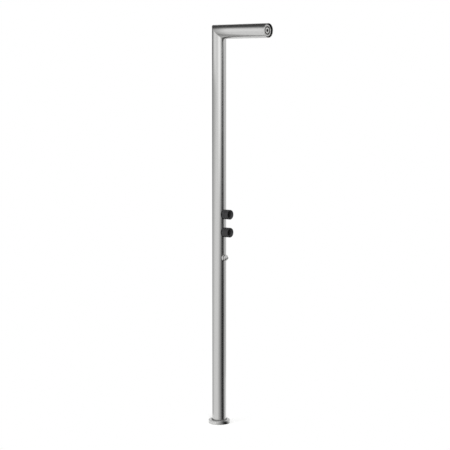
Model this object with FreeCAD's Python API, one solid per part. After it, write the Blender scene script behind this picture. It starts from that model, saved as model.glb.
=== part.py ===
import FreeCAD, Part
import math
import os

# An outdoor shower post in stainless steel, in millimetres. The origin is on the post's axis at floor
# level, +Z is up, and the arm, the knobs and the side outlet point along -Y, which is the front.
# "Depth" below is a distance along -Y from the post's axis.

# Fits
slide_gap = 0.15            # radial, parts pushed into each other
thread_gap = 0.05           # radial, male thread in female thread
running_gap = 0.05          # radial, a shaft that turns in its bore
hole_clearance = 0.5        # radial, necks in the tube wall

# Post and arm: one size of tube, mitred and welded at the top
tube_od = 80.0
tube_wall = 2.0
post_height = 2276.0        # floor to the top of the arm
arm_reach = 354.0           # post axis to the mouth of the arm

# Base flange: a floor plate welded under the post, bolted down through four holes
flange_width = 21.0         # how far the cover rosette stands out past the tube
plate_thickness = 8.0
plate_setback = 5.0         # rosette's edge to the plate's edge
bolt_count = 4
bolt_hole = 9.0

# Cover rosette, which slides up the post to uncover the bolts
rosette_height = 21.0
rosette_wall = 2.0
rosette_edge = 2.5          # bevel of its upper edge
rosette_floor_gap = 0.5
rosette_lip = 5.0           # radial width of the rubber ring between rosette and tube
seal_above_rosette = 2.5
seal_depth = 6.0

# Water pipes, soldered into sockets
pipe_od = 12.0
pipe_wall = 1.0
socket_depth = 8.0
riser_corner = 40.0         # how far the riser's slanted length runs, each way

# Inlet fitting, a female connection screwed into the floor plate
inlet_bore = 18.6
inlet_bore_depth = 12.0
inlet_shank = 26.0
inlet_flats = 30.0
inlet_height = 30.0

# Valve body: one brass casting that holds both valves and fills the front half of the tube
upper_valve_height = 1210.0
valve_pitch = 102.0
body_width = 34.0
body_bevel = 5.0            # along its two rear uprights
body_end_margin = 22.0      # from a valve's axis to the end of the casting
neck_thread = 24.0
neck_length = 6.0           # in front of the tube
chamber_bore = 18.0
chamber_floor = 8.0         # depth of the bottom of each valve chamber
ports_depth = 14.0          # depth of the riser and the outlet pipe
seat_bore = 8.0
gallery_behind = 12.0       # supply gallery, behind the post's axis
gallery_back_wall = 9.0

# Valve cartridge with ceramic discs, a quarter turn from shut to open
disc_od = 15.0
disc_thickness = 3.0
disc_gap = 0.05
port_inner = 1.8            # radii of the discs' two openings
port_outer = 6.3
port_half_angle = 38.0
cartridge_hex = 19.0
cartridge_hex_length = 4.0
cartridge_window = 7.0
spindle_d = 8.0
spindle_flange_length = 3.5

# Knob
knob_od = 55.0
knob_length = 42.5
knob_tube_gap = 1.0         # knob's rear rim to the front of the tube
knob_edge = 3.0             # bevel of the front edge
knob_wall = 4.5             # around the hollow that hides the lock nut
knob_hollow_depth = 10.5
knob_dish_od = 24.0
knob_dish_depth = 12.0
knob_web = 4.0              # between the spindle's end and the screw's head
knob_screw_thread = 5.0
knob_screw_head = 9.0
knob_screw_head_height = 3.5
knob_screw_length = 9.0
saddle_width = 32.0
saddle_length = 3.0         # in front of the tube
lock_nut_flats = 32.0
lock_nut_length = 4.0

# Side outlet: a small conical rinse jet
outlet_drop = 146.0         # lower valve's axis to the outlet's axis
outlet_neck = 16.0
outlet_neck_length = 10.0   # in front of the tube
elbow_width = 24.0
elbow_below = 13.0          # outlet's axis to the foot of the elbow
elbow_above = 19.0
elbow_bore = 8.0
outlet_rosette_od = 38.0
outlet_rosette_length = 5.0
outlet_rosette_edge = 1.2
jet_groove = 1.6
jet_groove_od = 29.0
jet_od = 34.0
jet_rim = 6.0
jet_cone = 11.0
jet_tip_od = 11.0
jet_tip = 2.2
jet_bore = 7.0

# Nozzle at the end of the arm
collar_length = 12.0        # a ring of the same tube, welded to the arm
seal_step_depth = 10.8      # from the mouth
face_plate_inset = 8.5      # from the tube's outside to the edge of the face plate
face_recess = 5.5
nozzle_seal_thickness = 4.6
chamber_wall = 7.5          # radial, of the face plate
housing_floor_depth = 26.0
housing_floor = 9.0
core_rim_wall = 2.6
core_length = 11.0
core_rim_setback = 0.6
core_boss_setback = 1.2
core_orifice = 11.0
slot_width = 4.6            # annular slot the water leaves by
notch_width = 4.5           # spanner notches across the core's rim
notch_depth = 2.5
notch_phase = 35.0
web_count = 4
web_thickness = 2.2
web_depth = 6.0

# Worked out from the sizes above
tube_r = tube_od / 2
tube_ir = tube_r - tube_wall
arm_height = post_height - tube_r
lower_valve_height = upper_valve_height - valve_pitch
outlet_height = lower_valve_height - outlet_drop
rosette_r = tube_r + flange_width
plate_r = rosette_r - plate_setback
bolt_circle_r = (tube_r + plate_r) / 2
neck_front = tube_r + neck_length
body_top = upper_valve_height + body_end_margin
body_bottom = lower_valve_height - body_end_margin
knob_back = tube_r + knob_tube_gap
knob_front = knob_back + knob_length
dish_back = knob_front - knob_dish_depth
spindle_front = dish_back - knob_web
moving_disc_back = chamber_floor + disc_thickness + disc_gap
moving_disc_front = moving_disc_back + disc_thickness
spindle_shoulder = moving_disc_front + spindle_flange_length
outlet_neck_front = tube_r + outlet_neck_length
outlet_rosette_front = tube_r + outlet_rosette_length
elbow_top = outlet_height + elbow_above
collar_joint = arm_reach - collar_length
seal_step = arm_reach - seal_step_depth
face_r = tube_r - face_plate_inset
face_front = arm_reach - face_recess
face_ir = face_r - chamber_wall
core_back = face_front - core_length
core_rim_front = face_front - core_rim_setback
core_rim_ir = face_ir - core_rim_wall
core_boss_r = core_rim_ir - slot_width
housing_floor_front = arm_reach - housing_floor_depth
housing_back = housing_floor_front - housing_floor
pipe_r = pipe_od / 2
pipe_ir = pipe_r - pipe_wall
socket_r = pipe_r + slide_gap


def vec(x, y, z):
    return FreeCAD.Vector(x, y, z)


up = vec(0, 0, 1)


def turned(profile):
    """Solid of revolution about Z from (radius, height) corners."""
    points = [vec(r, 0, h) for r, h in profile]
    face = Part.Face(Part.makePolygon(points + points[:1]))
    return face.revolve(vec(0, 0, 0), up, 360)


def bar(radius, start, end):
    return Part.makeCylinder(radius, end - start, vec(0, 0, start))


def ring(inner, outer, start, end):
    return turned([(inner, start), (outer, start), (outer, end), (inner, end)])


def prism(corners, start, end):
    """A flat outline of (x, y) corners raised from start to end along Z."""
    points = [vec(x, y, start) for x, y in corners]
    return Part.Face(Part.makePolygon(points + points[:1])).extrude(vec(0, 0, end - start))


def hexagon(across_flats, start, end):
    corner = across_flats / math.sqrt(3)
    angles = [math.radians(30 + 60 * i) for i in range(6)]
    return prism([(corner * math.cos(a), corner * math.sin(a)) for a in angles], start, end)


def around(shape, count, phase=0.0):
    """The shape turned about Z to each of count evenly spaced places."""
    return [shape.rotated(vec(0, 0, 0), up, phase + 360.0 * i / count) for i in range(count)]


def forward(shape, height):
    """The shape with its Z axis turned to the front, at this height on the post."""
    moved = shape.copy()
    turn = FreeCAD.Rotation(vec(1, 0, 0), 90)
    moved.Placement = FreeCAD.Placement(vec(0, 0, height), turn).multiply(moved.Placement)
    return moved


def at_arm(shape):
    return forward(shape, arm_height)


def at_both_valves(shape):
    """One copy of the shape for each valve, as separate solids of one part."""
    return Part.makeCompound([forward(shape, upper_valve_height), forward(shape, lower_valve_height)])


def inside_tube():
    return bar(tube_ir - slide_gap, 0, post_height)


def outside_tube():
    return bar(tube_r + running_gap / 2, 0, post_height)


# Base

def make_base_flange():
    plate = bar(plate_r, 0, plate_thickness)
    holes = around(bar(bolt_hole / 2, 0, plate_thickness).translated(vec(bolt_circle_r, 0, 0)),
                   bolt_count, 45)
    shank_hole = bar(inlet_shank / 2 + thread_gap, 0, plate_thickness)
    return plate.cut(holes + [shank_hole.translated(vec(0, gallery_behind, 0))])


def make_inlet_fitting():
    body = hexagon(inlet_flats, plate_thickness, inlet_height).fuse(bar(inlet_shank / 2, 0, plate_thickness))
    bores = [
        bar(inlet_bore / 2, 0, inlet_bore_depth),
        bar(socket_r, inlet_bore_depth, inlet_height),
    ]
    return body.cut(bores).translated(vec(0, gallery_behind, 0))


def make_cover_rosette():
    inner = tube_r + rosette_lip
    top = rosette_height
    return turned([
        (rosette_r - rosette_wall, rosette_floor_gap), (rosette_r, rosette_floor_gap),
        (rosette_r, top - rosette_edge), (rosette_r - rosette_edge, top), (inner, top),
        (inner, top - rosette_wall), (rosette_r - rosette_wall, top - rosette_wall),
    ])


def make_rosette_seal():
    """Rubber ring, glued into the rosette's hole, that wipes the tube."""
    inner = tube_r + running_gap
    outer = tube_r + rosette_lip
    return ring(inner, outer, rosette_height - seal_depth, rosette_height + seal_above_rosette)


# Tubes

def half_space(behind):
    """A block on one side of the mitre plane, which runs at 45 degrees through the arm's axis."""
    size = 2 * (post_height + arm_reach)
    block = Part.makeBox(size, size, size, vec(-size / 2, 0 if behind else -size, -size / 2))
    block.rotate(vec(0, 0, 0), vec(1, 0, 0), -45)
    block.translate(vec(0, 0, arm_height))
    return block


def make_post_tube():
    tube = ring(tube_ir, tube_r, plate_thickness, post_height + tube_od)
    tube = tube.common(half_space(behind=True).common(
        Part.makeBox(2 * tube_od, 2 * tube_od, 2 * post_height, vec(-tube_od, -tube_od, 0))))
    neck_hole = bar(neck_thread / 2 + hole_clearance, tube_ir / 2, tube_r + tube_wall)
    outlet_hole = bar(outlet_neck / 2 + hole_clearance, tube_ir / 2, tube_r + tube_wall)
    return tube.cut([forward(neck_hole, upper_valve_height), forward(neck_hole, lower_valve_height),
                     forward(outlet_hole, outlet_height)])


def make_arm_tube():
    tube = at_arm(ring(tube_ir, tube_r, -tube_od, collar_joint))
    return tube.common(half_space(behind=False))


# Pipes

def make_straight_pipe(behind, bottom, top):
    return ring(pipe_ir, pipe_r, bottom, top).translated(vec(0, behind, 0))


def make_riser_pipe():
    """Riser with two mitred corners, from the valve body to the nozzle."""
    foot = vec(0, -ports_depth, body_top - socket_depth)
    first = vec(0, -ports_depth, arm_height - riser_corner)
    second = vec(0, -ports_depth - riser_corner, arm_height)
    end = vec(0, -(housing_back + socket_depth), arm_height)
    path = Part.makePolygon([foot, first, second, end])

    def swept(radius):
        section = Part.Wire(Part.makeCircle(radius, foot, up))
        return path.makePipeShell([section], True, False, 1)

    return swept(pipe_r).cut(swept(pipe_ir))


# Valves

def make_valve_body():
    half, rear = body_width / 2, gallery_behind + gallery_back_wall
    block = prism([
        (-half, -tube_r), (half, -tube_r), (half, rear - body_bevel), (half - body_bevel, rear),
        (body_bevel - half, rear), (-half, rear - body_bevel),
    ], body_bottom, body_top).common(inside_tube())
    necks, bores = [], []
    for height in (upper_valve_height, lower_valve_height):
        necks.append(forward(bar(neck_thread / 2, chamber_floor, neck_front), height))
        bores.append(forward(bar(chamber_bore / 2, chamber_floor, neck_front), height))
        bores.append(forward(bar(seat_bore / 2, -gallery_behind, chamber_floor), height))
    bores.append(bar(socket_r, body_bottom, upper_valve_height).translated(vec(0, gallery_behind, 0)))
    for way in (bar(socket_r, upper_valve_height, body_top), bar(socket_r, body_bottom, lower_valve_height)):
        bores.append(way.translated(vec(0, -ports_depth, 0)))
    return block.fuse(necks).cut(bores).removeSplitter()


def sectors(inner, outer, start, end, phase):
    """A pair of opposite slices of a ring, which cut a disc's openings."""
    def corner(radius, angle):
        turn = math.radians(angle)
        return vec(radius * math.cos(turn), radius * math.sin(turn), start)

    half = port_half_angle
    edges = [
        Part.Arc(corner(inner, -half), corner(inner, 0), corner(inner, half)).toShape(),
        Part.LineSegment(corner(inner, half), corner(outer, half)).toShape(),
        Part.Arc(corner(outer, half), corner(outer, 0), corner(outer, -half)).toShape(),
        Part.LineSegment(corner(outer, -half), corner(inner, -half)).toShape(),
    ]
    return around(Part.Face(Part.Wire(edges)).extrude(vec(0, 0, end - start)), 2, phase)


def make_fixed_disc():
    start, end = chamber_floor, chamber_floor + disc_thickness
    return bar(disc_od / 2, start, end).cut(sectors(port_inner, port_outer, start, end, 0))


def make_moving_disc():
    start, end = moving_disc_back, moving_disc_front
    return bar(disc_od / 2, start, end).cut(sectors(port_inner, disc_od, start, end, 90))


def make_cartridge():
    """Brass housing screwed into the chamber, open at the back over the discs, with side windows."""
    outer = chamber_bore / 2 - thread_gap
    inner = disc_od / 2 + slide_gap
    bore = spindle_d / 2 + running_gap
    shoulder = spindle_shoulder + running_gap
    end = neck_front + cartridge_hex_length
    housing = turned([
        (inner, chamber_floor), (outer, chamber_floor), (outer, neck_front), (bore, neck_front),
        (bore, shoulder), (inner, shoulder),
    ])
    nose = hexagon(cartridge_hex, neck_front, end).cut(bar(bore, neck_front, end))
    window = Part.makeBox(cartridge_window, chamber_bore, disc_thickness,
                          vec(-cartridge_window / 2, -chamber_bore / 2, moving_disc_back))
    return housing.fuse(nose).cut(window).removeSplitter()


def make_spindle():
    flange = bar(disc_od / 2 - running_gap, moving_disc_front, spindle_shoulder)
    shaft = bar(spindle_d / 2, spindle_shoulder, spindle_front)
    tap = bar(knob_screw_thread / 2, spindle_front - knob_screw_length, spindle_front)
    return flange.fuse(shaft).cut(tap)


def make_lock_nut():
    start = tube_r + saddle_length
    nut = hexagon(lock_nut_flats, start, start + lock_nut_length)
    return nut.cut(bar(neck_thread / 2 + thread_gap, start, start + lock_nut_length))


def make_saddle_pads():
    """Square pads between the tube and the lock nuts, cut to the tube's round at the back."""
    half, pad_front = saddle_width / 2, tube_r + saddle_length
    corners = [(-half, -half), (half, -half), (half, half), (-half, half)]
    pad = prism(corners, tube_ir / 2, pad_front).cut(bar(neck_thread / 2 + slide_gap, tube_ir / 2, pad_front))
    return at_both_valves(pad).cut(outside_tube())


def make_knob():
    rim = knob_od / 2
    hollow_r = rim - knob_wall
    hollow_front = knob_back + knob_hollow_depth
    shaft_r = spindle_d / 2 + slide_gap
    screw_r = knob_screw_thread / 2 + slide_gap
    return turned([
        (hollow_r, knob_back), (rim, knob_back), (rim, knob_front - knob_edge), (rim - knob_edge, knob_front),
        (knob_dish_od / 2, knob_front), (knob_dish_od / 2, dish_back), (screw_r, dish_back),
        (screw_r, spindle_front), (shaft_r, spindle_front), (shaft_r, hollow_front),
        (hollow_r, hollow_front),
    ])


def make_knob_screw():
    head = bar(knob_screw_head / 2, dish_back, dish_back + knob_screw_head_height)
    return head.fuse(bar(knob_screw_thread / 2 - thread_gap, spindle_front - knob_screw_length + 1, dish_back))


# Side outlet

def make_outlet_elbow():
    half = elbow_width / 2
    block = Part.makeBox(elbow_width, tube_r, elbow_below + elbow_above,
                         vec(-half, -tube_r - ports_depth + half, outlet_height - elbow_below))
    neck = forward(bar(outlet_neck / 2, ports_depth, outlet_neck_front), outlet_height)
    bores = [
        bar(socket_r, outlet_height, elbow_top).translated(vec(0, -ports_depth, 0)),
        forward(bar(elbow_bore / 2, ports_depth, outlet_neck_front), outlet_height),
    ]
    return block.common(inside_tube()).fuse(neck).cut(bores)


def make_outlet_rosette():
    rim = outlet_rosette_od / 2
    bore = outlet_neck / 2 + slide_gap
    blank = turned([
        (bore, tube_ir / 2), (rim, tube_ir / 2), (rim, outlet_rosette_front - outlet_rosette_edge),
        (rim - outlet_rosette_edge, outlet_rosette_front), (bore, outlet_rosette_front),
    ])
    return forward(blank, outlet_height).cut(outside_tube())


def make_outlet_jet():
    """Conical jet screwed onto the elbow's neck against the rosette."""
    start = outlet_rosette_front
    rim_at = start + jet_groove
    cone_at = rim_at + jet_rim
    tip_at = cone_at + jet_cone
    thread_r = outlet_neck / 2 + thread_gap
    return forward(turned([
        (thread_r, start), (jet_groove_od / 2, start), (jet_groove_od / 2, rim_at), (jet_od / 2, rim_at),
        (jet_od / 2, cone_at), (jet_tip_od / 2, tip_at), (jet_tip_od / 2, tip_at + jet_tip),
        (jet_bore / 2, tip_at + jet_tip), (jet_bore / 2, outlet_neck_front), (thread_r, outlet_neck_front),
    ]), outlet_height)


# Nozzle

def make_nozzle_collar():
    return at_arm(ring(tube_ir, tube_r, collar_joint, arm_reach))


def make_nozzle_seal():
    return at_arm(ring(face_r + thread_gap, tube_ir - thread_gap, seal_step, seal_step + nozzle_seal_thickness))


def make_nozzle_housing():
    """Cup pushed into the collar and the arm, with a proud face ring and the riser's socket at its back."""
    body_r = tube_ir - slide_gap
    return at_arm(turned([
        (face_ir, face_front), (face_r, face_front), (face_r, seal_step), (body_r, seal_step),
        (body_r, housing_back), (socket_r, housing_back), (socket_r, housing_floor_front),
        (face_ir, housing_floor_front),
    ]))


def make_nozzle_core():
    """Rim screwed into the housing, with spanner notches, and a boss with the middle orifice on webs."""
    rim = ring(core_rim_ir, face_ir - thread_gap, core_back, core_rim_front)
    notch = Part.makeBox(face_ir, notch_width, notch_depth,
                         vec(0, -notch_width / 2, core_rim_front - notch_depth))
    boss = ring(core_orifice / 2, core_boss_r, core_back, face_front - core_boss_setback)
    web = Part.makeBox(slot_width + 2, web_thickness, web_depth,
                       vec(core_boss_r - 1, -web_thickness / 2, core_back))
    rim = rim.cut(around(notch, web_count, notch_phase))
    return at_arm(boss.fuse([rim] + around(web, web_count, notch_phase)).removeSplitter())


def build():
    pieces = {
        "base_flange": make_base_flange(),
        "inlet_fitting": make_inlet_fitting(),
        "cover_rosette": make_cover_rosette(),
        "rosette_seal": make_rosette_seal(),
        "post_tube": make_post_tube(),
        "arm_tube": make_arm_tube(),
        "supply_pipe": make_straight_pipe(gallery_behind, inlet_height - socket_depth,
                                          body_bottom + socket_depth),
        "outlet_pipe": make_straight_pipe(-ports_depth, elbow_top - socket_depth,
                                          body_bottom + socket_depth),
        "riser_pipe": make_riser_pipe(),
        "valve_body": make_valve_body(),
        "fixed_discs": at_both_valves(make_fixed_disc()),
        "cartridges": at_both_valves(make_cartridge()),
        "lock_nuts": at_both_valves(make_lock_nut()),
        "saddle_pads": make_saddle_pads(),
        "outlet_elbow": make_outlet_elbow(),
        "outlet_rosette": make_outlet_rosette(),
        "outlet_jet": make_outlet_jet(),
        "nozzle_collar": make_nozzle_collar(),
        "nozzle_seal": make_nozzle_seal(),
        "nozzle_housing": make_nozzle_housing(),
        "nozzle_core": make_nozzle_core(),
    }
    turning = {
        "moving_disc": make_moving_disc(),
        "spindle": make_spindle(),
        "knob": make_knob(),
        "knob_screw": make_knob_screw(),
    }
    for name, shape in turning.items():
        pieces[f"upper_{name}"] = forward(shape, upper_valve_height)
        pieces[f"lower_{name}"] = forward(shape, lower_valve_height)
    return pieces


os.makedirs("parts", exist_ok=True)
for name, shape in build().items():
    if not shape.isValid():
        raise ValueError(f"{name} is not a valid shape")
    shape.exportStep(f"parts/{name}.step")
    print(f"{name}: {len(shape.Solids)} solid(s), {shape.Volume / 1000:.1f} cm3")
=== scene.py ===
from math import cos, degrees, pi, radians, sin

import bmesh
import bpy
from mathutils import Matrix, Vector


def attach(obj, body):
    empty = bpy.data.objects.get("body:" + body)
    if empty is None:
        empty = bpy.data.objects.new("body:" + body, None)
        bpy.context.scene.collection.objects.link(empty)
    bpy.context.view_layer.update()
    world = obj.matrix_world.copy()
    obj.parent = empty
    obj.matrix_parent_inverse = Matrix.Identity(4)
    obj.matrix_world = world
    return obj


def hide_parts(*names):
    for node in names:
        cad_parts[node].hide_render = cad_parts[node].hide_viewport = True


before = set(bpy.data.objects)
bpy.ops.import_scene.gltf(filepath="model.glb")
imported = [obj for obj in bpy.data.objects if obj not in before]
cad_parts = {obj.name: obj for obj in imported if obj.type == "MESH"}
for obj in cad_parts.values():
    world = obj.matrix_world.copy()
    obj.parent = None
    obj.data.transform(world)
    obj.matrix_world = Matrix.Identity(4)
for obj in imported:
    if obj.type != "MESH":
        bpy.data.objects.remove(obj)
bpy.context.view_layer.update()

print("frame loaded")

mm = 0.001


# Sizes and places from the solids, in millimetres

def nodeBox(name):
    # the lowest and the highest corner of a CAD node
    points = [vert.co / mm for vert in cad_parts[name].data.vertices]
    return [Vector([pick(point[axis] for point in points) for axis in range(3)]) for pick in (min, max)]


def middleHeight(name):
    low, high = nodeBox(name)
    return (low.z + high.z) / 2


postLow = nodeBox("post_tube")[0]
collarLow, collarHigh = nodeBox("nozzle_collar")
tube = dict(radius=collarHigh.x, wall=2, foot=postLow.z, top=collarHigh.z, mouth=-collarLow.y,
            collarJoint=-collarHigh.y, weldRounding=0.35, rimRounding=0.5)
armHeight = tube["top"] - tube["radius"]
outletHeight = middleHeight("outlet_jet")

# faces round a full turn, along a stretch of the nozzle's rim, and across a rounded edge
roundness = dict(tube=160, turned=128, core=96, stretch=24, edge=5, weld=2)
# how near, in millimetres, counts as the same point, as on a circle, on the mitre or on the dish's floor
nearness = dict(point=0.002, circle=0.005, mitre=0.01, dishFloor=0.2)
smoothBelow = 30  # degrees between two faces that shade as one


# Colours and nodes

def linear(hexColour):
    channels = [int(hexColour[i:i + 2], 16) / 255 for i in (1, 3, 5)]
    return [c / 12.92 if c <= 0.04045 else ((c + 0.055) / 1.055) ** 2.4 for c in channels] + [1.0]


def addNode(tree, kind, inputs=None, **settings):
    node = tree.nodes.new(kind)
    for name, value in settings.items():
        setattr(node, name, value)
    for name, value in (inputs or {}).items():
        if isinstance(value, bpy.types.NodeSocket):
            tree.links.new(value, node.inputs[name])
        else:
            node.inputs[name].default_value = value
    return node


def newMaterial(name, **shaderValues):
    material = bpy.data.materials.new(name)
    material.use_nodes = True
    tree = material.node_tree
    shader = tree.nodes["Principled BSDF"]
    for socket, value in shaderValues.items():
        shader.inputs[socket.replace("_", " ")].default_value = value
    return material, tree, shader


def emptyMaterial(name):
    material = bpy.data.materials.new(name)
    material.use_nodes = True
    material.node_tree.nodes.clear()
    return material, material.node_tree


def grain(tree, size, detail=3.0):
    # size is the grain's width along X, Y and Z, in metres
    coords = addNode(tree, "ShaderNodeTexCoord").outputs["Object"]
    scale = tuple(1 / s for s in size)
    placed = addNode(tree, "ShaderNodeMapping", {"Vector": coords, "Scale": scale}).outputs[0]
    return addNode(tree, "ShaderNodeTexNoise", {"Vector": placed, "Scale": 1.0, "Detail": detail}).outputs[0]


def turnedGrain(tree, centre, width):
    # rings about an axis along Y through centre, as a lathe or a polishing wheel leaves them
    coords = addNode(tree, "ShaderNodeTexCoord").outputs["Object"]
    offset = tuple(-c for c in centre)
    moved = addNode(tree, "ShaderNodeMapping", {"Vector": coords, "Location": offset}).outputs[0]
    parts = addNode(tree, "ShaderNodeSeparateXYZ", {0: moved})
    flat = addNode(tree, "ShaderNodeCombineXYZ", {0: parts.outputs[0], 1: parts.outputs[2]}).outputs[0]
    radius = addNode(tree, "ShaderNodeVectorMath", {0: flat}, operation="LENGTH").outputs["Value"]
    rings = addNode(tree, "ShaderNodeCombineXYZ", {0: radius, 1: parts.outputs[1]}).outputs[0]
    marks = {"Vector": rings, "Scale": 1 / width, "Detail": 2.0}
    return addNode(tree, "ShaderNodeTexNoise", marks).outputs[0]


reliefStrength = 0.3


def finish(tree, shader, pattern, colours, roughness, bump):
    # one pattern drives the colour, the roughness and a bump of the given depth in metres
    dark, light = colours
    shade = addNode(tree, "ShaderNodeMix", {0: pattern, 6: linear(dark), 7: linear(light)}, data_type="RGBA")
    tree.links.new(shade.outputs[2], shader.inputs["Base Color"])
    smooth, dull = roughness
    wear = addNode(tree, "ShaderNodeMapRange", {"Value": pattern, "To Min": smooth, "To Max": dull})
    tree.links.new(wear.outputs[0], shader.inputs["Roughness"])
    heights = {"Height": pattern, "Strength": reliefStrength, "Distance": bump}
    relief = addNode(tree, "ShaderNodeBump", heights)
    tree.links.new(relief.outputs[0], shader.inputs["Normal"])


steel = dict(colours=("#c5c5c4", "#cbcbca"), roughness=(0.2, 0.26), grit=0.5 * mm, stroke=80 * mm,
             depth=0.002 * mm)


def brushedStainless(name, strokeAxis):
    # grade 304 tube, ground with a fine belt: a soft satin that still mirrors large shapes, with the
    # belt's strokes along the tube, drawn at 0.5 mm because the real 0.05 mm would not show
    material, tree, shader = newMaterial(name, Metallic=1.0)
    size = [steel["grit"]] * 3
    size[strokeAxis] = steel["stroke"]
    finish(tree, shader, grain(tree, size), steel["colours"], steel["roughness"], steel["depth"])
    return material


def turnedStainless(name, centre):
    # stainless turned and polished on a lathe, so that its marks run in rings, drawn as wide as the belt's
    material, tree, shader = newMaterial(name, Metallic=1.0)
    finish(tree, shader, turnedGrain(tree, centre, steel["grit"]), steel["colours"], steel["roughness"],
           steel["depth"])
    return material


def drawnStainless():
    # thin-walled water pipe as drawn, duller than the polished tube; the die's lines are drawn 0.6 mm wide,
    # because real ones are too fine to show
    material, tree, shader = newMaterial("drawnStainless", Metallic=1.0)
    drawMarks = grain(tree, (0.6 * mm, 0.6 * mm, 40 * mm))
    finish(tree, shader, drawMarks, ("#a9a9a6", "#b9b9b6"), (0.3, 0.42), 0.01 * mm)
    return material


def blackScrewSteel():
    # small screws of black-oxide steel, slightly cloudy
    material, tree, shader = newMaterial("blackOxideSteel", Metallic=1.0)
    finish(tree, shader, grain(tree, (1.5 * mm,) * 3), ("#242526", "#313233"), (0.35, 0.5), 0.005 * mm)
    return material


def castBrass():
    # machined and cast brass, warm, with the fine skin that moulding sand leaves, drawn coarse at 0.9 mm
    material, tree, shader = newMaterial("castBrass", Metallic=1.0)
    finish(tree, shader, grain(tree, (0.9 * mm,) * 3), ("#b08c45", "#c6a45e"), (0.3, 0.45), 0.03 * mm)
    return material


def platedAbs():
    # moulded ABS with a satin metal plate, greyer and softer than the steel round it, waved every 2.5 mm
    material, tree, shader = newMaterial("satinPlatedAbs", Metallic=1.0)
    waviness = grain(tree, (2.5 * mm,) * 3, detail=2.0)
    finish(tree, shader, waviness, ("#cfcfcd", "#dbdbd9"), (0.24, 0.32), 0.01 * mm)
    return material


def paintedShadeBlack():
    # matt black drawn as the same moulded ABS, its mould texture at 0.8 mm: painted shade, put on the
    # nozzle's bores, slots and chambers and on the knobs' dish floors
    material, tree, shader = newMaterial("paintedShadeBlack", Specular_IOR_Level=0.15)
    texture = grain(tree, (0.8 * mm,) * 3, detail=2.0)
    finish(tree, shader, texture, ("#080808", "#0e0e0e"), (0.5, 0.6), 0.01 * mm)
    return material


def mouldedKnobPlastic():
    # black glass-filled nylon from a spark-eroded mould: a fine even texture of 0.35 mm and a satin sheen
    material, tree, shader = newMaterial("blackMouldedNylon", Specular_IOR_Level=0.3)
    texture = grain(tree, (0.35 * mm,) * 3, detail=2.0)
    finish(tree, shader, texture, ("#1d1d1e", "#272728"), (0.34, 0.44), 0.015 * mm)
    return material


def blackRubber():
    # silicone sealing rubber, matt and nearly black, with a faint powdery skin, drawn coarse at 0.8 mm
    material, tree, shader = newMaterial("blackSilicone", Specular_IOR_Level=0.08)
    powder = grain(tree, (0.8 * mm,) * 3, detail=2.0)
    finish(tree, shader, powder, ("#060606", "#0c0c0c"), (0.6, 0.75), 0.03 * mm)
    return material


def greyRubber():
    # EPDM wiper rubber, black in itself, drawn mid grey: painted sheen standing in for the bright reflection
    # along its front, lighter in small patches
    material, tree, shader = newMaterial("greyEpdmPaintedSheen", Specular_IOR_Level=0.4)
    finish(tree, shader, grain(tree, (1.2 * mm,) * 3), ("#5c5c5b", "#6c6c6b"), (0.5, 0.65), 0.04 * mm)
    return material


def lappedAlumina():
    # alumina valve disc, ivory and lapped nearly to a mirror, its very fine grain drawn as clouds of 3 mm
    material, tree, shader = newMaterial("lappedAlumina", IOR=1.76)
    finish(tree, shader, grain(tree, (3 * mm,) * 3), ("#e3dfd5", "#ece9e1"), (0.08, 0.14), 0.002 * mm)
    return material


alongX, alongY, alongZ = range(3)
postSteel = brushedStainless("brushedStainlessTube", alongZ)
armSteel = brushedStainless("brushedStainlessArm", alongY)
plateSteel = brushedStainless("brushedStainlessPlate", alongX)
outletSteel = turnedStainless("turnedStainlessOutlet", (0, 0, outletHeight * mm))
rosetteSteel = brushedStainless("brushedStainlessRosette", alongX)
knobPlastic = mouldedKnobPlastic()
rubber = blackRubber()
wiperRubber = greyRubber()
brass = castBrass()
nozzleAbs = platedAbs()
shadeBlack = paintedShadeBlack()
print("materials made")


# Shapes

standing = Matrix.Identity(4)
toFront = Matrix.Rotation(radians(90), 4, "X")


def lying(height):
    # places a shape made along Z so that it points to the front at this height
    return Matrix.Translation((0, 0, height * mm)) @ toFront


def sectionLoop(mesh, places):
    # closes a few places into the section that a spin turns into a round piece
    verts = [mesh.verts.new(place) for place in places]
    return verts + [mesh.edges.new(pair) for pair in zip(verts, verts[1:] + verts[:1])]


def spun(corners, steps=roundness["turned"]):
    # corners are (radius, distance along the axis, rounding) in millimetres
    mesh = bmesh.new()
    section = sectionLoop(mesh, [(r * mm, 0, h * mm) for r, h, rounding in corners])
    bmesh.ops.spin(mesh, geom=section, cent=(0, 0, 0), axis=(0, 0, 1), angle=2 * pi, steps=steps,
                   use_merge=True)
    bmesh.ops.remove_doubles(mesh, verts=mesh.verts, dist=nearness["point"] * mm)
    bmesh.ops.recalc_face_normals(mesh, faces=mesh.faces)
    for r, h, rounding in corners:
        if rounding:
            bevelCircle(mesh, r * mm, h * mm, rounding * mm)
    return mesh


def bevelCircle(mesh, radius, height, offset):
    def onCircle(vert):
        return max(abs(vert.co.xy.length - radius), abs(vert.co.z - height)) < nearness["circle"] * mm

    circle = [e for e in mesh.edges if onCircle(e.verts[0]) and onCircle(e.verts[1])]
    roundEdges(mesh, circle, offset, roundness["edge"])


def roundEdges(mesh, edges, offset, segments):
    bmesh.ops.bevel(mesh, geom=edges, offset=offset, offset_type="OFFSET", segments=segments, profile=0.5,
                    affect="EDGES", material=-1, clamp_overlap=True)


def addPiece(name, mesh, place, body, material, slotName, *nodes):
    mesh.transform(place)
    for face in mesh.faces:
        face.smooth = True
    for edge in mesh.edges:
        edge.smooth = len(edge.link_faces) == 2 and edge.calc_face_angle() < radians(smoothBelow)
    data = bpy.data.meshes.new(name)
    mesh.to_mesh(data)
    mesh.free()
    data.materials.append(material)
    piece = bpy.data.objects.new(name, data)
    bpy.context.collection.objects.link(piece)
    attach(piece, body)
    if nodes:
        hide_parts(*nodes)
    return piece


# Post and arm: round tube with a mitred, ground weld

tubeBore = tube["radius"] - tube["wall"]


def tubeLength(start, end):
    r = tube["radius"]
    return spun([(tubeBore, start, 0), (r, start, 0), (r, end, 0), (tubeBore, end, 0)], roundness["tube"])


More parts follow.
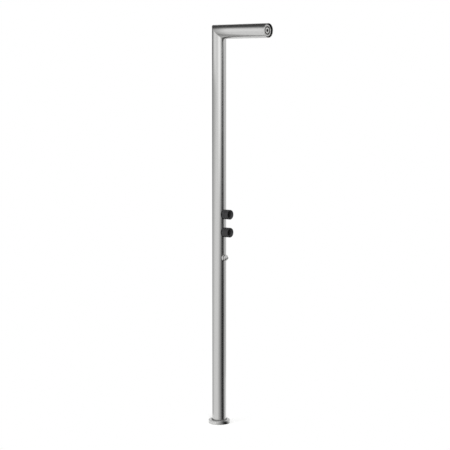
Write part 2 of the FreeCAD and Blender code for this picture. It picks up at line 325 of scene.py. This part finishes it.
def cutMitre(mesh, planeNormal):
    geom = list(mesh.verts) + list(mesh.edges) + list(mesh.faces)
    corner = (0, 0, armHeight * mm)
    cut = bmesh.ops.bisect_plane(mesh, geom=geom, dist=nearness["point"] * mm, plane_co=corner,
                                 plane_no=planeNormal, clear_outer=True)
    rim = [e for e in cut["geom_cut"] if isinstance(e, bmesh.types.BMEdge)]
    bmesh.ops.bridge_loops(mesh, edges=rim)
    outer = [e for e in mesh.edges if all(onMitreRim(v.co) for v in e.verts)]
    roundEdges(mesh, outer, tube["weldRounding"] * mm, roundness["weld"])


def onMitreRim(point):
    offPlane = abs(point.z - armHeight * mm - point.y)
    return max(offPlane, abs(point.xy.length - tube["radius"] * mm)) < nearness["mitre"] * mm


pastCorner = 2 * tube["radius"]  # both tubes are made this much too long for the mitre cut
postMesh = tubeLength(tube["foot"], tube["top"] + pastCorner)
cutMitre(postMesh, (0, -1, 1))
addPiece("postTube", postMesh, standing, "post", postSteel, "brushed_stainless", "post_tube")

armMesh = tubeLength(-pastCorner, tube["collarJoint"])
armMesh.transform(lying(armHeight))
cutMitre(armMesh, (0, 1, -1))
addPiece("armTube", armMesh, standing, "post", armSteel, "brushed_stainless", "arm_tube")

collarCorners = [
    (tubeBore, tube["collarJoint"], 0), (tube["radius"], tube["collarJoint"], tube["weldRounding"]),
    (tube["radius"], tube["mouth"], tube["rimRounding"]), (tubeBore, tube["mouth"], tube["rimRounding"]),
]
addPiece("mouthCollar", spun(collarCorners, roundness["tube"]), lying(armHeight), "post", armSteel,
         "brushed_stainless", "nozzle_collar")
print("tubes made")


# Nozzle: a face ring in the arm's mouth, a core with a notched rim and an annular slot, and a rubber ring

housingHigh, sealHigh = nodeBox("nozzle_housing")[1], nodeBox("nozzle_seal")[1]
# the last depth in this table is where the plating stops and the painted black shade of the recesses begins
nozzle = dict(face=346.5, step=-sealHigh.y, faceRadius=32, faceEdge=0.8, waterRadius=25.3,
              sleeve=housingHigh.x, back=-housingHigh.y, backEdge=0.5, chamberBack=328, socket=6.15,
              shadeBehind=344.2)
housingCorners = [
    (nozzle["waterRadius"], nozzle["face"], nozzle["faceEdge"]),
    (nozzle["faceRadius"], nozzle["face"], nozzle["faceEdge"]), (nozzle["faceRadius"], nozzle["step"], 0),
    (nozzle["sleeve"], nozzle["step"], 0), (nozzle["sleeve"], nozzle["back"], nozzle["backEdge"]),
    (nozzle["socket"], nozzle["back"], 0), (nozzle["socket"], nozzle["chamberBack"], 0),
    (nozzle["waterRadius"], nozzle["chamberBack"], 0),
]
# the last depth in this table is where the plating stops and the painted black shade of the slot and webs
# begins
core = dict(back=335.5, rimFront=346, rimInner=23.1, rimOuter=25.25, boss=17.2, bossFront=345.4,
            bossEdge=0.5, orifice=8.0, orificeEdge=0.4, notches=4, notchDepth=2.5, notchWidth=4.5,
            webFront=338.5, webWidth=2.5, phase=35, shadeBehind=339.5)
# faces that look to the front less squarely than this get the painted black shade
leastFacing = 0.35  # how squarely a face must look to the front to be plated, from 0 to 1


def plateFrontShadeRest(piece, shadeBehind):
    # the front faces keep the plating; faces that look away from the front, and faces behind the given depth,
    # get matt black: painted shade in the bores, slots and chambers
    piece.data.materials.append(shadeBlack)
    for face in piece.data.polygons:
        if -face.normal.y < leastFacing or -face.center.y < shadeBehind * mm:
            face.material_index = 1


def partRing(corners, start, sweep):
    # a stretch of a ring, its angles in degrees; corners are (radius, distance along the axis)
    mesh = bmesh.new()
    turn = Matrix.Rotation(radians(start), 4, "Z")
    section = sectionLoop(mesh, [turn @ Vector((r * mm, 0, h * mm)) for r, h in corners])
    bmesh.ops.spin(mesh, geom=section, cent=(0, 0, 0), axis=(0, 0, 1), angle=radians(sweep),
                   steps=roundness["stretch"], use_merge=False)
    bmesh.ops.holes_fill(mesh, edges=[e for e in mesh.edges if e.is_boundary], sides=0)
    bmesh.ops.recalc_face_normals(mesh, faces=mesh.faces)
    return mesh


def joined(meshes):
    whole = bmesh.new()
    for mesh in meshes:
        data = bpy.data.meshes.new("part")
        mesh.to_mesh(data)
        mesh.free()
        whole.from_mesh(data)
        bpy.data.meshes.remove(data)
    return whole


def ringBetween(inner, outer, back, front):
    return [(inner, back), (outer, back), (outer, front), (inner, front)]


housing = addPiece("nozzleHousing", spun(housingCorners), lying(armHeight), "post", nozzleAbs,
                   "nozzle_plastic", "nozzle_housing")
plateFrontShadeRest(housing, nozzle["shadeBehind"])

bossCorners = [
    (core["orifice"], core["back"], 0), (core["boss"], core["back"], 0),
    (core["boss"], core["bossFront"], core["bossEdge"]),
    (core["orifice"], core["bossFront"], core["orificeEdge"]),
]
notchFloor = core["rimFront"] - core["notchDepth"]
rimBase = ringBetween(core["rimInner"], core["rimOuter"], core["back"], notchFloor)
rimTooth = ringBetween(core["rimInner"], core["rimOuter"], notchFloor, core["rimFront"])
web = ringBetween(core["boss"], core["rimInner"], core["back"], core["webFront"])
coreParts = [spun(corners, roundness["core"]) for corners in (bossCorners, [(r, h, 0) for r, h in rimBase])]
notchAngle = degrees(core["notchWidth"] / core["rimInner"])
webAngle = degrees(core["webWidth"] / core["boss"])
pitch = 360 / core["notches"]
for notch in range(core["notches"]):
    middle = core["phase"] + pitch * notch
    coreParts.append(partRing(rimTooth, middle + notchAngle / 2, pitch - notchAngle))
    coreParts.append(partRing(web, middle - webAngle / 2, webAngle))
nozzleCore = addPiece("nozzleCore", joined(coreParts), lying(armHeight), "post", nozzleAbs,
                      "nozzle_plastic", "nozzle_core")
plateFrontShadeRest(nozzleCore, core["shadeBehind"])

seal = dict(inner=32.05, outer=sealHigh.x, floor=345.4, lip=353.8, lipInner=36.4, lipFoot=36.2, slant=0.055,
            slantFrom=347)
sealCorners = [
    (seal["inner"], nozzle["step"], 0), (seal["outer"], nozzle["step"], 0), (seal["outer"], seal["lip"], 0.2),
    (seal["lipInner"], seal["lip"], 0.4), (seal["lipFoot"], seal["floor"], 0.4),
    (seal["inner"], seal["floor"], 0.6),
]
sealMesh = spun(sealCorners)
for vert in sealMesh.verts:
    # the rubber lip isn't trimmed square: it stands further forward at the top than at the bottom
    if vert.co.z > seal["slantFrom"] * mm:
        vert.co.z -= seal["slant"] * (tube["radius"] * mm - vert.co.y)
addPiece("nozzleSeal", sealMesh, lying(armHeight), "post", rubber, "black_rubber", "nozzle_seal")
print("nozzle made")


# Knobs: round, with a dish in the front and a hollow behind for the lock nut

knobLow, knobHigh = nodeBox("upper_knob")
knob = dict(radius=knobHigh.x, back=-knobHigh.y, front=-knobLow.y, edge=1.8, hollow=23, hollowFront=51.5,
            mouth=24.5, dish=16.5, dishBack=71.5, screw=2.65, spindle=4.15, spindleFront=67.5)
knobCorners = [
    (knob["hollow"], knob["back"], 0.4), (knob["radius"], knob["back"], 1.0),
    (knob["radius"], knob["front"], knob["edge"]), (knob["mouth"], knob["front"], 1.0),
    (knob["dish"], knob["dishBack"], 2.0), (knob["screw"], knob["dishBack"], 0),
    (knob["screw"], knob["spindleFront"], 0), (knob["spindle"], knob["spindleFront"], 0),
    (knob["spindle"], knob["hollowFront"], 0), (knob["hollow"], knob["hollowFront"], 0.8),
]
for side in ("upper", "lower"):
    turningKnob = addPiece(f"{side}Knob", spun(knobCorners), lying(middleHeight(f"{side}_knob")),
                           f"{side}_knob_set", knobPlastic, "black_knob", f"{side}_knob")
    turningKnob.data.materials.append(shadeBlack)
    for face in turningKnob.data.polygons:
        # the dish's floor is painted matt black: painted shade at the bottom of the deep dish
        if abs(-face.center.y - knob["dishBack"] * mm) < nearness["dishFloor"] * mm:
            face.material_index = 1
print("knobs made")


# Side outlet: a flat ring on the post and a conical jet screwed on in front of it

ring = dict(bore=8.15, radius=19.7, back=34, front=-nodeBox("outlet_rosette")[0].y, edge=1.0)
ringCorners = [
    (ring["bore"], ring["back"], 0), (ring["radius"], ring["back"], 0),
    (ring["radius"], ring["front"], ring["edge"]), (ring["bore"], ring["front"], 0.2),
]
addPiece("outletRing", spun(ringCorners), lying(outletHeight), "post", outletSteel, "brushed_stainless",
         "outlet_rosette")
jet = dict(thread=8.05, threadFront=50, groove=14.5, grooveFront=46.6, radius=17, coneBack=52.6, tip=5.5,
           coneFront=62.6, front=64.2, bore=3.5)
jetCorners = [
    (jet["thread"], ring["front"], 0), (jet["groove"], ring["front"], 0),
    (jet["groove"], jet["grooveFront"], 0), (jet["radius"], jet["grooveFront"], 0.5),
    (jet["radius"], jet["coneBack"], 0.8),
    (jet["tip"], jet["coneFront"], 0.6), (jet["tip"], jet["front"], 0.5), (jet["bore"], jet["front"], 0.3),
    (jet["bore"], jet["threadFront"], 0), (jet["thread"], jet["threadFront"], 0),
]
addPiece("outletJet", spun(jetCorners), lying(outletHeight), "post", outletSteel, "brushed_stainless",
         "outlet_jet")
print("side outlet made")


# Floor rosette: a pressed cover with a rubber lip that wipes the post

rosetteLow, rosetteHigh = nodeBox("cover_rosette")
lipLow, lipHigh = nodeBox("rosette_seal")
rosette = dict(radius=rosetteHigh.x, wall=2, foot=rosetteLow.z, top=rosetteHigh.z, edge=4.0, innerEdge=2.0)
lip = dict(inner=40.05, outer=lipHigh.x, back=lipLow.z, front=lipHigh.z, outerEdge=1.2, innerEdge=0.8)
inside, ceiling = rosette["radius"] - rosette["wall"], rosette["top"] - rosette["wall"]
rosetteCorners = [
    (inside, rosette["foot"], 0.3), (rosette["radius"], rosette["foot"], 0.5),
    (rosette["radius"], rosette["top"], rosette["edge"]), (lip["outer"], rosette["top"], 0.4),
    (lip["outer"], ceiling, 0), (inside, ceiling, rosette["innerEdge"]),
]
addPiece("floorRosette", spun(rosetteCorners, roundness["tube"]), standing, "rosette", rosetteSteel,
         "brushed_stainless", "cover_rosette")
lipCorners = [
    (lip["inner"], lip["back"], 0), (lip["outer"], lip["back"], 0),
    (lip["outer"], lip["front"], lip["outerEdge"]), (lip["inner"], lip["front"], lip["innerEdge"]),
]
# the black rubber lip is drawn grey: painted sheen for the bright reflection along its front
addPiece("rosetteLip", spun(lipCorners, roundness["tube"]), standing, "rosette", wiperRubber, "black_rubber",
         "rosette_seal")
print("rosette made")


# CAD nodes that stay

kept = {
    plateSteel: ["base_flange"],
    brass: ["inlet_fitting", "valve_body", "cartridges", "lock_nuts", "saddle_pads", "outlet_elbow",
            "upper_spindle", "lower_spindle"],
    drawnStainless(): ["supply_pipe", "outlet_pipe", "riser_pipe"],
    blackScrewSteel(): ["upper_knob_screw", "lower_knob_screw"],
    lappedAlumina(): ["fixed_discs", "upper_moving_disc", "lower_moving_disc"],
}
for material, names in kept.items():
    for name in names:
        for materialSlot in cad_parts[name].material_slots:
            materialSlot.material = material
print("kept parts finished")


# Floor and world: white to the camera and in the metal, a plain soft light for the object

def stagePiece(name, mesh, material):
    data = bpy.data.meshes.new(name)
    mesh.to_mesh(data)
    mesh.free()
    data.materials.append(material)
    piece = bpy.data.objects.new(name, data)
    bpy.context.collection.objects.link(piece)
    return piece


def seenRays(tree):
    # 1 for rays that should see the white background: from the camera, in metal and through glass
    rays = addNode(tree, "ShaderNodeLightPath").outputs
    pair = addNode(tree, "ShaderNodeMath", {0: rays["Is Camera Ray"], 1: rays["Is Glossy Ray"]},
                   operation="MAXIMUM")
    return addNode(tree, "ShaderNodeMath", {0: pair.outputs[0], 1: rays["Is Transmission Ray"]},
                   operation="MAXIMUM").outputs[0]


floorBoard = dict(colour="#f8f8f7", size=6.0, shadowNear=0.062, shadowFar=0.25, shadowShare=0.8)  # in metres


def paleFloor():
    # painted board: its shadow shows near the object and fades to the white backdrop
    material, tree = emptyMaterial("palePaintedFloor")
    coords = addNode(tree, "ShaderNodeTexCoord").outputs["Object"]
    away = addNode(tree, "ShaderNodeVectorMath", {0: coords}, operation="LENGTH").outputs["Value"]
    fade = addNode(tree, "ShaderNodeMapRange", {
        "Value": away, "From Min": floorBoard["shadowNear"], "From Max": floorBoard["shadowFar"],
        "To Min": 1 - floorBoard["shadowShare"], "To Max": 1.0}).outputs[0]
    share = addNode(tree, "ShaderNodeMath", {0: fade, 1: seenRays(tree)}, operation="MULTIPLY").outputs[0]
    paint = addNode(tree, "ShaderNodeBsdfDiffuse", {"Color": linear(floorBoard["colour"])}).outputs[0]
    white = addNode(tree, "ShaderNodeEmission", {"Strength": 1.0}).outputs[0]
    mixed = addNode(tree, "ShaderNodeMixShader", {0: share, 1: paint, 2: white}).outputs[0]
    addNode(tree, "ShaderNodeOutputMaterial", {"Surface": mixed})
    return material


half = floorBoard["size"] / 2
board = bmesh.new()
board.faces.new([board.verts.new((x * half, y * half, 0)) for x, y in ((-1, -1), (1, -1), (1, 1), (-1, 1))])
stagePiece("floor", board, paleFloor())

studio = dict(worldForObject=0.65, aimHeight=1.2, overhead=4.2)  # heights in metres


def studioWorld():
    world = bpy.data.worlds.new("studioWorld")
    world.use_nodes = True
    tree = world.node_tree
    tree.nodes.clear()
    plain = {"Color": (1, 1, 1, 1)}
    soft = addNode(tree, "ShaderNodeBackground", plain | {"Strength": studio["worldForObject"]}).outputs[0]
    white = addNode(tree, "ShaderNodeBackground", plain | {"Strength": 1.0}).outputs[0]
    mixed = addNode(tree, "ShaderNodeMixShader", {0: seenRays(tree), 1: soft, 2: white}).outputs[0]
    addNode(tree, "ShaderNodeOutputWorld", {"Surface": mixed})
    return world


bpy.context.scene.world = studioWorld()


# Cards and softboxes, placed from the camera's direction

cameraAt = dict(distance=7936 * mm, height=1964 * mm, turn=49.64, yaw=0.24, tilt=5.882, focalPixels=1401.6,
                framePixels=450, filmWidth=36)
turn = radians(cameraAt["turn"])
towardCamera = Vector((-sin(turn), -cos(turn), 0))
cameraRight = Vector((cos(turn), -sin(turn), 0))


def fromPost(angle, distance, height):
    # a place on the floor plan: angle in degrees to the right of the camera's direction, seen from the post
    plan = towardCamera * cos(radians(angle)) + cameraRight * sin(radians(angle))
    return tuple(plan * distance + Vector((0, 0, height)))


def overArm(x, y):
    return (x, y, studio["overhead"])


# Cards and cloths with soft sides, as a studio sets round polished metal; only reflections see them. A row
# gives the opacity, the four angles where the card starts, is full, fades and ends, its distance from the
# post and its height in metres. The card over the arm lies flat: four places along X, then one along Y.
cards = dict(
    rightFlag=dict(tone=0.0, place=fromPost, rows=[
        (0.97, (-34, 30, 56, 86), 0.0615, 0.0006), (0.96, (-30, 44, 68, 110), 1.2, 0.0006),
        (0.97, (-20, 46, 72, 112), 1.2, 0.5), (0.91, (38, 57, 62, 100), 1.2, 2.45)]),
    leftFlag=dict(tone=0.05, place=fromPost, rows=[
        (0.35, (-76, -100, -135, -155), 0.12, 0.03), (0.5, (-50, -110, -135, -155), 0.12, 1.0),
        (0.8, (-18, -118, -137, -157), 0.12, 1.9), (0.8, (-40, -110, -138, -158), 0.12, 2.03),
        (0.85, (-54, -102, -138, -158), 0.12, 2.12), (0.85, (-54, -102, -138, -158), 0.12, 2.32)]),
    backFlag=dict(tone=0.3, place=fromPost, rows=[
        (0.35, (96, 125, 170, 190), 1.3, 0.01), (0.35, (96, 125, 170, 190), 1.3, 2.4)]),
    postHighlight=dict(tone=1.5, place=fromPost, rows=[
        (0.0, (-12, 6, 16, 40), 0.9, 1.3), (0.9, (-12, 6, 16, 40), 0.9, 2.05),
        (0.9, (-12, 6, 16, 40), 0.9, 2.6)]),
    armHighlight=dict(tone=1.15, place=fromPost, rows=[
        (0.9, (-110, -100, -50, -40), 0.7, 2.12), (0.9, (-110, -100, -50, -40), 0.7, 2.5)]),
    overheadFlag=dict(tone=0.03, place=overArm, rows=[
        (0.95, (-3.0, -0.8, 1.9, 4.5), -0.5), (0.95, (-3.0, -0.8, 1.9, 4.5), 4.5)]),
)


def cardCloth(name, tone):
    material, tree = emptyMaterial(name)
    share = addNode(tree, "ShaderNodeAttribute", attribute_name="opacity").outputs["Fac"]
    clear = addNode(tree, "ShaderNodeBsdfTransparent").outputs[0]
    cloth = addNode(tree, "ShaderNodeEmission", {"Strength": tone}).outputs[0]
    mixed = addNode(tree, "ShaderNodeMixShader", {0: share, 1: clear, 2: cloth}).outputs[0]
    addNode(tree, "ShaderNodeOutputMaterial", {"Surface": mixed})
    return material


def softCard(name, tone, place, rows, steps=8):
    # each of a row's three stretches has this many steps, and its vertices carry the opacity there
    mesh = bmesh.new()
    opacity = mesh.verts.layers.float.new("opacity")
    lines = []
    for full, marks, *others in rows:
        line = []
        for start, end, first, last in zip(marks, marks[1:], (0, full, full), (full, full, 0)):
            for step in range(steps + 1):
                share = step / steps
                vert = mesh.verts.new(place(start + (end - start) * share, *others))
                vert[opacity] = first + (last - first) * share
                line.append(vert)
        lines.append(line)
    for near, far in zip(lines, lines[1:]):
        for i in range(len(near) - 1):
            if (i + 1) % (steps + 1):
                mesh.faces.new([near[i], near[i + 1], far[i + 1], far[i]])
    card = stagePiece(name, mesh, cardCloth(name + "Cloth", tone))
    card.visible_camera = card.visible_diffuse = card.visible_shadow = card.visible_transmission = False


for name, card in cards.items():
    softCard(name, **card)

softboxes = dict(
    keySoftbox=dict(angle=2, distance=4.0, height=2.6, size=1.6, watts=190),
    fillSoftbox=dict(angle=-60, distance=4.5, height=2.4, size=2.2, watts=60),
)
for name, box in softboxes.items():
    lamp = bpy.data.lights.new(name, "AREA")
    lamp.size, lamp.energy = box["size"], box["watts"]
    softbox = bpy.data.objects.new(name, lamp)
    bpy.context.collection.objects.link(softbox)
    softbox.location = fromPost(box["angle"], box["distance"], box["height"])
    aim = Vector((0, 0, studio["aimHeight"])) - softbox.location
    softbox.rotation_euler = aim.to_track_quat("-Z", "Y").to_euler()
    softbox.visible_glossy = False
print("studio made")


# Camera

film = bpy.data.cameras.new("camera")
film.sensor_width = cameraAt["filmWidth"]
film.lens = cameraAt["focalPixels"] / cameraAt["framePixels"] * cameraAt["filmWidth"]
camera = bpy.data.objects.new("camera", film)
bpy.context.collection.objects.link(camera)
camera.location = towardCamera * cameraAt["distance"] + Vector((0, 0, cameraAt["height"]))
heading, tilt = radians(cameraAt["turn"] + cameraAt["yaw"]), radians(cameraAt["tilt"])
look = Vector((sin(heading) * cos(tilt), cos(heading) * cos(tilt), -sin(tilt)))
camera.rotation_euler = look.to_track_quat("-Z", "Y").to_euler()
bpy.context.scene.camera = camera
bpy.context.scene.view_settings.view_transform = "Standard"
print("camera set")
